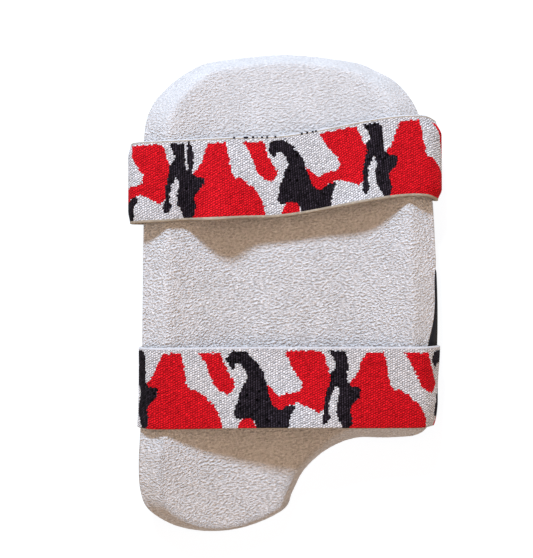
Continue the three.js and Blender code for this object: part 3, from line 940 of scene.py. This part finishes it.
def cover_surface(form, cover, pattern):
    """The cover: its outer face is the flat pattern bent at depth nought, drawn in by small waves along the
    seam near the edge, and its inner face follows the height of the seam. Its edge stays a little inside the
    pad's, except where it climbs the wall."""
    size = np.ptp(pattern.outline, axis=0)
    distances, runs = np.array([0, EDGE_BAND]), np.array([0, 2 * EDGE_BAND])
    s = graded(size[0], cover.step, distances, runs)[:, None]
    t = graded(size[1], cover.step, distances, runs)[None]
    flat = pattern.point(s, t)
    distance, out, along = pattern.nearest(flat)
    lipped = smooth(pattern.lip(flat[..., 0], flat[..., 1]) / LIP_SHOWS)
    under = cover.under * (1 - smooth(distance / form.seam_reach)) * (1 - lipped)
    flat = flat - out * under[..., None]
    u, v = flat[..., 0], flat[..., 1]
    near = np.exp(-(((distance - cover.inset) / (PUCKER_WIDTH * cover.inset)) ** 2))
    wave = PUCKER_MEAN - PUCKER_WAVE * np.cos(2 * math.pi * along / cover.stitch)
    pucker = cover.pucker * near * wave
    lower = bend(form, u, v, pucker)
    upper = bend(form, pattern.leaning(u, v, distance), v, pattern.seam(u, v, distance))
    points, faces = closed_skin(upper, [], lower)
    uv = np.concatenate([flat.reshape(-1, 2)] * 2)
    return points + pattern.shift, faces, uv


# The straps

def fold_run(form, strap, tape, edge, slack, tail_depth):
    """Half of a strap's run round one edge in developed measure: along the flank on the front, round the
    seam on an arc, up beside the wall, and over the edge on a wider arc until it is level. Slack moves it off
    the pad."""
    reach = strap.clearance + strap.thickness / 2
    corner_u, fold_u = edge - form.seam_round, edge - strap.fold_round
    fold_w = form.thickness - strap.fold_round
    corner_reach, fold_reach = form.seam_round + reach, strap.fold_round + reach
    share = np.linspace(0, 1, FOLD_STEPS)
    flank = strap.tail_end + (corner_u - strap.tail_end) * share[:-1]
    ramp = smooth((flank - tape.outer) / strap.tail_ramp)
    turn = -math.pi / 2 * (1 - share)
    over = share * (math.pi / 2 - (fold_u - form.flat_half_width) / form.front_radius)
    u = [flank, corner_u + corner_reach * np.cos(turn), [edge + reach], fold_u + fold_reach * np.cos(over)]
    w = [-tail_depth - (reach - tail_depth) * ramp, form.seam_round + corner_reach * np.sin(turn)]
    w += [[(form.seam_round + fold_w) / 2], fold_w + fold_reach * np.sin(over)]
    loose = [CORNER_SLACK * smooth(2 * share[:-1] - 1), np.full(FOLD_STEPS, CORNER_SLACK), [1.0]]
    loose.append(CORNER_SLACK * (1 - share))
    return np.concatenate(u) + slack * np.concatenate(loose), np.concatenate(w)


def strap_middle(lay, x):
    """Height along Y of a strap's middle line at x: it gains its drift and its rise, and loses its droop,
    over three stretches."""
    drift, rise, droop = (smooth((x / MM - start) / (end - start)) for start, end in (DRIFT, RISE, DROOP))
    return (lay["y"] + lay["drift"] * drift + lay["rise"] * rise - lay["droop"] * droop) * MM


def strap_folds(form, strap, tape, pattern, lay, share):
    """The folds round the left and the right edge of one row of a strap, as points from its tail inwards. The
    corners of a fold are drawn in, and it follows the pad's edge by the share that is the strap's tuck."""
    sewn = form.gap + strap.thickness / 2
    snug = smooth((abs(share) - SNUG_FROM) / (0.5 - SNUG_FROM)) * (1 if share > 0 else SNUG_BELOW)
    folds = []
    for side, name, depth in ((-1, "left", sewn), (1, "right", sewn + form.gap + tape.thickness)):
        level = (lay["y"] if side < 0 else lay["y"] + lay["drift"] + lay["rise"]) * MM
        widest = max(pattern.edge_at(side, level + x * strap.width) for x in (-0.5, 0, 0.5))
        edge = widest + lay["tuck"] * (pattern.edge_at(side, level + share * strap.width) - widest)
        slack = (lay[f"slack_{name}"] - snug * lay[f"snug_{name}"]) * MM
        u, w = fold_run(form, strap, tape, edge, slack, depth)
        folds.append(bend(form, side * u, 0.0, w))
    return folds


def strap_path(form, strap, tape, pattern, lay, share):
    """One row of a strap at a share of its width, as points and the length run up to each: round the left
    edge, straight across with a low arch and buckles that grow towards the lower edge, and round the right
    edge. Over the trough the length is counted level, as the knit is drawn out over the buckles."""
    left, right = strap_folds(form, strap, tape, pattern, lay, share)
    right = right[::-1]
    along = np.linspace(0, 1, CROSSING_STEPS)[1:-1]
    crossing = left[-1] + (right[0] - left[-1]) * along[:, None]
    ease = smooth(along / BUCKLE_EASE) * smooth((1 - along) / BUCKLE_EASE)
    x = crossing[:, 0] / MM
    lift = ease * sum(height * np.exp(-(((x - at) / spread) ** 2)) for at, spread, height in lay["buckles"])
    raised = lift * (0.5 - share) ** 2
    crossing[:, 2] += (lay["bow"] * np.sin(math.pi * along) + raised) * MM
    crossing[:, 1] += lay["draw"] * raised * MM
    row = np.concatenate([left, crossing, right])
    row[:, 1] += strap_middle(lay, row[:, 0]) + share * strap.width
    steps = np.diff(row, axis=0)
    steps[len(left) : -len(right), 2] = 0
    return row, np.append(0, np.cumsum(np.linalg.norm(steps, axis=1)))


def landmarks(row, reached):
    """Lengths run up to a strap's start, to where it passes the anchors over the trough, and to its end."""
    top = slice(FOLD_POINTS, -FOLD_POINTS)
    return np.array([0, *np.interp([-ANCHOR * MM, ANCHOR * MM], row[top, 0], reached[top]), reached[-1]])


def strap_row(path, knots, stations, offset):
    """A row's path at even stations between its landmarks, slid along it by a share of the slope times the
    offset so that the columns lean with the strap, and smoothed as elastic would be: each point becomes half
    itself and a quarter of each neighbour, again and again."""
    row, reached = path
    even = np.interp(np.arange(stations), knots, landmarks(row, reached))
    slope = np.maximum(np.interp(even, reached, np.gradient(row[:, 1], reached)), 0)
    even = np.clip(even - COLUMN_TILT * slope * offset, 0, reached[-1])
    row = np.stack([np.interp(even, reached, row[:, k]) for k in range(3)], -1)
    for _ in range(SMOOTHINGS):
        row[1:-1] = 0.25 * row[:-2] + 0.5 * row[1:-1] + 0.25 * row[2:]
    return row


def strap_surface(form, strap, tape, pattern, lay):
    """The strap's face and back as grids of points two to a stitch each way, moved half its thickness to each
    side of its middle along the normals. Each column of stitches stands up on the face, most at the middle of
    a stitch, and the back's edges are drawn out past the face's. Also returned: the charted place of the
    first point, and the strap's length."""
    shares = np.linspace(-0.5, 0.5, 2 * KNIT_ROWS + 1)
    paths = [strap_path(form, strap, tape, pattern, lay, share) for share in shares]
    cut = paths[KNIT_ROWS][1][-1]
    stations = 2 * round(cut / (lay["repeat"] * MM) * KNIT_COLUMNS) + 1
    knots = landmarks(*paths[KNIT_ROWS]) / cut * (stations - 1)
    rows = [strap_row(path, knots, stations, share * strap.width) for path, share in zip(paths, shares)]
    middle = np.stack(rows, 1)
    normal = grid_normals(middle)
    station, row = np.meshgrid(np.arange(stations), np.arange(2 * KNIT_ROWS + 1), indexing="ij")
    at_middle = (station // 2 + row) % 2 == 0
    knitted = (row > len(lay["bottom"])) & (row < 2 * KNIT_ROWS - len(lay["top"]))
    raised = strap.relief * np.where(knitted, (station % 2) * np.where(at_middle, 1.0, 0.5), 0.5)
    face = middle + normal * (strap.thickness / 2 - strap.relief + raised)[..., None]
    back = middle - normal * (strap.thickness / 2 - BACK_RELIEF * raised)[..., None]
    for edge, drawn in ((-0.5, -lay["low"]), (0.5, lay["high"])):
        back[..., 1] += drawn * MM * np.exp(-((((shares - edge) * strap.width) / BACK_DRAWN) ** 2))
    across = middle[:, KNIT_ROWS]
    on_top = across[:, 2] > form.thickness
    gap = np.where(on_top, np.abs(across[:, 0] + pattern.shift[0] - lay["half"] * MM), 1.0)
    first = CHART_LENGTH / 2 - gap.argmin() / 2 * CHART_LENGTH / KNIT_COLUMNS
    return face + pattern.shift, back + pattern.shift, first, cut


def inside(polygon, x, y):
    """Whether points lie in a polygon: an upward line from each crosses its sides an odd number of times."""
    odd = np.zeros(x.shape, bool)
    corners = np.array(polygon, float)
    for (xa, ya), (xb, yb) in zip(corners, np.roll(corners, -1, axis=0)):
        if xa != xb:
            odd ^= ((xa > x) != (xb > x)) & (y < ya + (yb - ya) * (x - xa) / (xb - xa))
    return odd


def charted_yarn(strap, lay, at, up):
    """Colour of the yarn at charted places; a motif may run on into the next repeat, and the pattern jumps
    where the strap is joined."""
    yarn = np.broadcast_to(np.array(strap.white), (*at.shape, 3)).copy()
    joined = lay["join"] is not None
    place = np.mod(np.where(at < lay["join"], at + lay["jump"], at) if joined else at, CHART_LENGTH)
    for name, motif in CHART:
        hit = np.any([inside(motif, place + k * CHART_LENGTH, up) for k in (-1, 0, 1)], axis=0)
        yarn[hit] = getattr(strap, name)
    for name, motif in JOIN if joined else []:
        yarn[inside(motif, at, up)] = getattr(strap, name)
    return yarn


def charted_places(lay, first, station, half_row, draw):
    """Where on the chart each half stitch lies: along it from the first point's place, with the pattern drawn
    out past some places, and up it above the hem, each stitch moved a little."""
    at = (station + 0.5) / 2 * CHART_LENGTH / KNIT_COLUMNS + first + STITCH_SHIFT * draw[0]
    for place, share in lay["stretch"]:
        past = np.maximum(at - place, 0) if place > CHART_LENGTH / 2 else np.minimum(at - place, 0)
        at = at - share * past
    up = ((half_row + 0.5) / 2 / KNIT_ROWS - lay["hem"]) / (1 - lay["hem"]) * CHART_HEIGHT
    return at, np.clip(up + STITCH_SHIFT * draw[1], CHART_MARGIN, CHART_HEIGHT - CHART_MARGIN)


def strap_colours(strap, lay, face, first):
    """A colour for each face of a strap, with how much it is knitted as its alpha: charted yarn on its face,
    each stitch moved a little and a little lighter or darker, with painted highlights as lighter upright
    strokes in the black yarn and painted shade between them, plain yarns in the outermost half rows, white
    and natural yarn round its edges with black floats on the upper one, and on its back the face's colours
    showing through natural yarn."""
    stations = len(face)
    rng = np.random.default_rng(stations)
    station, half_row = np.meshgrid(np.arange(stations - 1), np.arange(2 * KNIT_ROWS), indexing="ij")
    column = station // 2
    stitch = (half_row + 1 - column % 2) // 2
    draw = rng.normal(0, 1, (3, column.max() + 1, KNIT_ROWS + 1))[:, column, stitch]
    yarn = charted_yarn(strap, lay, *charted_places(lay, first, station, half_row, draw))
    varied = draw[2][..., None]
    even = 1 + TONE_SPREAD * varied
    # Painted highlights on the black yarn's upright strokes and painted shade between them
    black_highlight_and_shade = np.where(station % 2, BLACK_PAINTED_SHADE, BLACK_PAINTED_HIGHLIGHT)[..., None] * (1 + BLACK_SPREAD * varied)
    tone = np.where((yarn.max(-1) < BLACK_UNDER)[..., None], black_highlight_and_shade, even)
    knitted = np.ones((*yarn.shape[:2], 1))
    plain = [*enumerate(lay["bottom"]), *((-1 - k, name) for k, name in enumerate(lay["top"]))]
    for k, name in plain:
        yarn[:, k] = getattr(strap, name)
        tone[:, k] = even[:, k]
        knitted[:, k] = 0
    x = face[:-1, -1, 0] / MM
    floating = np.any(np.abs(x[:, None] - np.array(lay["floats"])) < FLOAT_HALF, axis=1)
    yarn[floating, -1] = strap.black
    natural = np.array(strap.natural)
    front = np.concatenate([yarn * tone, knitted], -1)
    shown = SHOW_THROUGH * yarn + (1 - SHOW_THROUGH) * natural
    back = np.concatenate([shown * even, np.ones_like(knitted)], -1)
    lower, end = (np.tile((*natural, 0), (count, 1)) for count in (stations - 1, 2 * KNIT_ROWS))
    walls = []
    for edge in (strap.white, strap.natural):
        walls += [lower, end, np.where(floating[::-1, None], (*strap.black, 0), (*edge, 0)), end]
    return np.clip(np.concatenate([front.reshape(-1, 4), *walls, back.reshape(-1, 4)]), 0, 1)


# Stitching

def thread_stitches(start, end, normal, radius, rise):
    """Stitches as closed tubes: each runs from its start to its end in a low arch of half a sine along the
    normal, and its thickness follows the root of that sine, thin at both ends."""
    share = np.linspace(0, 1, THREAD_RINGS)
    arch = np.sin(math.pi * share)
    run = end - start
    side = np.cross(run / np.linalg.norm(run, axis=-1, keepdims=True), normal)
    centre = start[:, None] + run[:, None] * share[:, None] + normal[:, None] * (rise * arch)[:, None]
    thick = radius * (THREAD_END + (1 - THREAD_END) * np.sqrt(arch))
    angle = (np.arange(THREAD_SIDES) * 2 * math.pi / THREAD_SIDES)[:, None, None, None]
    ring = np.cos(angle) * normal[:, None] + np.sin(angle) * side[:, None]
    points = centre[:, :, None] + np.moveaxis(ring, 0, 2) * thick[:, None, None]
    numbers = np.arange(points[..., 0].size).reshape(-1, THREAD_RINGS, THREAD_SIDES)
    around = np.roll(numbers, -1, axis=2)
    walls = np.stack([numbers[:, :-1], numbers[:, 1:], around[:, 1:], around[:, :-1]], -1).reshape(-1, 4)
    caps = np.concatenate([numbers[:, 0], numbers[:, -1, ::-1]])
    return points.reshape(-1, 3), walls.tolist() + caps.tolist()


def topstitch_runs(form, cover, pattern):
    """Starts, ends and normals of the stitches that follow the outline at a fixed inset on the cover's
    face."""
    total = pattern.along[-1]
    count = round(total / cover.stitch)
    places = np.arange(count)[:, None] * total / count + np.array([0.0, STITCH_SHARE * cover.stitch])
    flat = np.stack([np.interp(places, pattern.along, pattern.outline[:, k]) for k in (0, 1)], -1)
    _, out, _ = pattern.nearest(flat)
    flat = flat - out * cover.inset
    ends = bend(form, flat[..., 0], flat[..., 1], cover.pucker)
    inward = bend(form, flat[..., 0], flat[..., 1], cover.pucker + MM) - ends
    normal = -inward[:, 0] / np.linalg.norm(inward[:, 0], axis=-1, keepdims=True)
    return ends[:, 0] + pattern.shift, ends[:, 1] + pattern.shift, normal


# Operators

def settings_of(context):
    """The guard's settings and its flat pattern."""
    guard = context.scene.thigh_guard
    return guard, FlatPattern(guard.form)


class THIGHGUARD_OT_pad(bpy.types.Operator):
    """Make the moulded pad and its towelling"""

    bl_idname = "thigh_guard.pad"
    bl_label = "Towelling pad"

    def execute(self, context):
        guard, pattern = settings_of(context)
        points, faces, cloth, height = pad_surface(guard.form, guard.towelling, pattern)
        piece = add_piece("towelling_pad", points, faces, towelling_material(guard.towelling))
        set_uv(piece.data, cloth / MM)
        set_values(piece.data, "loop_height", height)
        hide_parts("pad")
        return {"FINISHED"}


class THIGHGUARD_OT_cover(bpy.types.Operator):
    """Make the black cover of the front and its topstitching"""

    bl_idname = "thigh_guard.cover"
    bl_label = "Front cover"

    def execute(self, context):
        guard, pattern = settings_of(context)
        form, cover = guard.form, guard.cover
        points, faces, flat = cover_surface(form, cover, pattern)
        piece = add_piece("front_cloth", points, faces, cover_material(cover))
        set_uv(piece.data, flat / MM)
        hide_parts("front_cover")
        runs = topstitch_runs(form, cover, pattern)
        points, faces = thread_stitches(*runs, cover.thread_radius, cover.thread_rise)
        thread = thread_material("cover_thread", cover.thread)
        stitching = add_piece("cover_topstitch", points, faces, thread)
        pattern.area()
        return {"FINISHED"}


class THIGHGUARD_OT_straps(bpy.types.Operator):
    """Make both elastic straps"""

    bl_idname = "thigh_guard.straps"
    bl_label = "Elastic straps"

    def execute(self, context):
        guard, pattern = settings_of(context)
        strap = guard.strap
        elastic = strap_material()
        for name, lay in STRAPS.items():
            face, back, first, cut = strap_surface(guard.form, strap, guard.tape, pattern, lay)
            border = 0.5 * (perimeter(face) + perimeter(back))
            across = perimeter(np.broadcast_to(np.linspace(-1, 1, face.shape[1]), face.shape[:2]))
            border[:, 1] += SELVEDGE_BULGE * across**SELVEDGE_POWER
            points, faces = closed_skin(face, [border], back)
            piece = add_piece(f"{name}_elastic", points, faces, elastic)
            stations, rows = face.shape[:2]
            flat = np.stack(np.meshgrid(np.arange(stations) / 2, np.arange(rows) / 2, indexing="ij"), -1)
            set_uv(piece.data, np.concatenate([flat.reshape(-1, 2), perimeter(flat), flat.reshape(-1, 2)]))
            set_face_colours(piece.data, "yarn", strap_colours(strap, lay, face, first))
            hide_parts(f"{name}_strap")
        return {"FINISHED"}


class THIGHGUARD_OT_tapes(bpy.types.Operator):
    """Make the hook-and-loop pieces under the straps' right ends"""

    bl_idname = "thigh_guard.tapes"
    bl_label = "Hook-and-loop tapes"

    def execute(self, context):
        guard, pattern = settings_of(context)
        tape, form = guard.tape, guard.form
        black = tape_material(tape)
        for name, lay in STRAPS.items():
            middle = (lay["y"] + lay["drift"] + lay["rise"]) * MM
            u = np.linspace(tape.inner, tape.outer, TAPE_POINTS[0])[:, None]
            v = np.linspace(middle - tape.width / 2, middle + tape.width / 2, TAPE_POINTS[1])[None]
            rim = np.minimum(np.minimum(u - u.min(), u.max() - u), np.minimum(v - v.min(), v.max() - v))
            thin = TAPE_THINNED * tape.thickness * (1 - smooth(rim / TAPE_RIM))
            outer = bend(form, u, v, -form.gap - tape.thickness + thin)
            inner = bend(form, u, v, np.full(rim.shape, -form.gap))
            points, faces = closed_skin(inner, [], outer)
            piece = add_piece(f"{name}_tape", points + pattern.shift, faces, black)
            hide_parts(f"{name}_fastener")
        return {"FINISHED"}


class THIGHGUARD_OT_stage(bpy.types.Operator):
    """Make the floor, the light and the camera"""

    bl_idname = "thigh_guard.stage"
    bl_label = "Stage"

    def execute(self, context):
        studio = context.scene.thigh_guard.studio
        scene = context.scene
        add_floor(studio)
        add_lights(scene, studio)
        add_camera(scene, studio)
        return {"FINISHED"}


def add_floor(studio):
    """A plain pale floor just under the guard, far wider than the view."""
    half, low = studio.floor_half, -studio.floor_drop
    corners = [(-half, -half, low), (half, -half, low), (half, half, low), (-half, half, low)]
    mesh = bpy.data.meshes.new("floor")
    mesh.from_pydata(corners, [], [(0, 1, 2, 3)])
    material, tree, bsdf = shader("pale_floor")
    pale = ranged(tree, noise(tree, object_place(tree), scale=30.0, detail=2.0), low=0.98, high=1.0)
    tree.links.new(mix(tree, 1.0, rgba(studio.floor), pale, "MULTIPLY"), bsdf.inputs["Base Color"])
    set_sockets(bsdf, {"Roughness": 0.9, "Specular IOR Level": 0.1})
    set_sockets(bsdf, {"Emission Color": rgba(studio.floor_glow), "Emission Strength": 1.0})
    mesh.materials.append(material)
    floor = bpy.data.objects.new("floor", mesh)
    bpy.context.scene.collection.objects.link(floor)


def add_lamp(scene, name, power, size, tint, place):
    """A square light that faces the guard."""
    light = bpy.data.lights.new(name, "AREA")
    light.energy, light.size, light.color = power, size, tint
    lamp = bpy.data.objects.new(name, light)
    lamp.location = place
    lamp.rotation_euler = (-lamp.location).to_track_quat("-Z", "Y").to_euler()
    scene.collection.objects.link(lamp)


def add_lights(scene, studio):
    """A cool light above the upper end and to the left, a wide warm one overhead, and warm light from all
    round that the camera sees as white."""
    add_lamp(scene, "key_light", studio.key_power, studio.key_size, studio.key_tint, studio.key_place)
    add_lamp(scene, "top_light", studio.top_power, studio.top_size, studio.fill_tint, studio.top_place)
    world = bpy.data.worlds.new("studio")
    world.use_nodes = True
    tree = world.node_tree
    warm = tree.nodes["Background"]
    set_sockets(warm, {"Color": rgba(studio.fill_tint), "Strength": studio.fill_power})
    white = node(tree, "ShaderNodeBackground", {"Color": (1, 1, 1, 1), "Strength": 1.0})
    seen = node(tree, "ShaderNodeLightPath", {}).outputs["Is Camera Ray"]
    both = node(tree, "ShaderNodeMixShader", {0: seen, 1: warm.outputs[0], 2: white.outputs[0]})
    tree.links.new(both.outputs[0], tree.nodes["World Output"].inputs["Surface"])
    scene.world = world
    scene.view_settings.view_transform = "Standard"


def add_camera(scene, studio):
    """A camera looking straight down, whose lens takes in the view's height at the level of the pad."""
    camera = bpy.data.cameras.new("camera")
    half = studio.view_height / 2 / (studio.camera_height - studio.view_level)
    camera.sensor_width = 36.0
    camera.lens = camera.sensor_width / 2 / half
    seat = bpy.data.objects.new("camera", camera)
    seat.location = (studio.camera_x, studio.camera_y, studio.camera_height)
    scene.collection.objects.link(seat)
    scene.camera = seat


class THIGHGUARD_PT_panel(bpy.types.Panel):
    """Lists the guard's pieces and their settings"""

    bl_idname = "THIGHGUARD_PT_panel"
    bl_label = "Thigh guard"
    bl_space_type = "VIEW_3D"
    bl_region_type = "UI"
    bl_category = "Thigh guard"

    def draw(self, context):
        for operator in OPERATORS:
            self.layout.operator(operator.bl_idname)
        guard = context.scene.thigh_guard
        for group in guard.__annotations__:
            box = self.layout.box()
            for name in getattr(guard, group).__annotations__:
                box.prop(getattr(guard, group), name)


SETTINGS = (GuardForm, Towelling, CoverCloth, StrapElastic, HookAndLoop, Studio, ThighGuard)
OPERATORS = (
    THIGHGUARD_OT_stage, THIGHGUARD_OT_pad, THIGHGUARD_OT_cover, THIGHGUARD_OT_straps, THIGHGUARD_OT_tapes,
)
CLASSES = (*SETTINGS, *OPERATORS, THIGHGUARD_PT_panel)


def register():
    for item in CLASSES:
        bpy.utils.register_class(item)
    bpy.types.Scene.thigh_guard = PointerProperty(type=ThighGuard)


def unregister():
    del bpy.types.Scene.thigh_guard
    for item in reversed(CLASSES):
        bpy.utils.unregister_class(item)


def main():
    """Registers the add-on and makes the stage and every piece."""
    register()
    bpy.ops.thigh_guard.stage()
    bpy.ops.thigh_guard.pad()
    bpy.ops.thigh_guard.cover()
    bpy.ops.thigh_guard.straps()
    bpy.ops.thigh_guard.tapes()


if __name__ == "__main__":
    main()
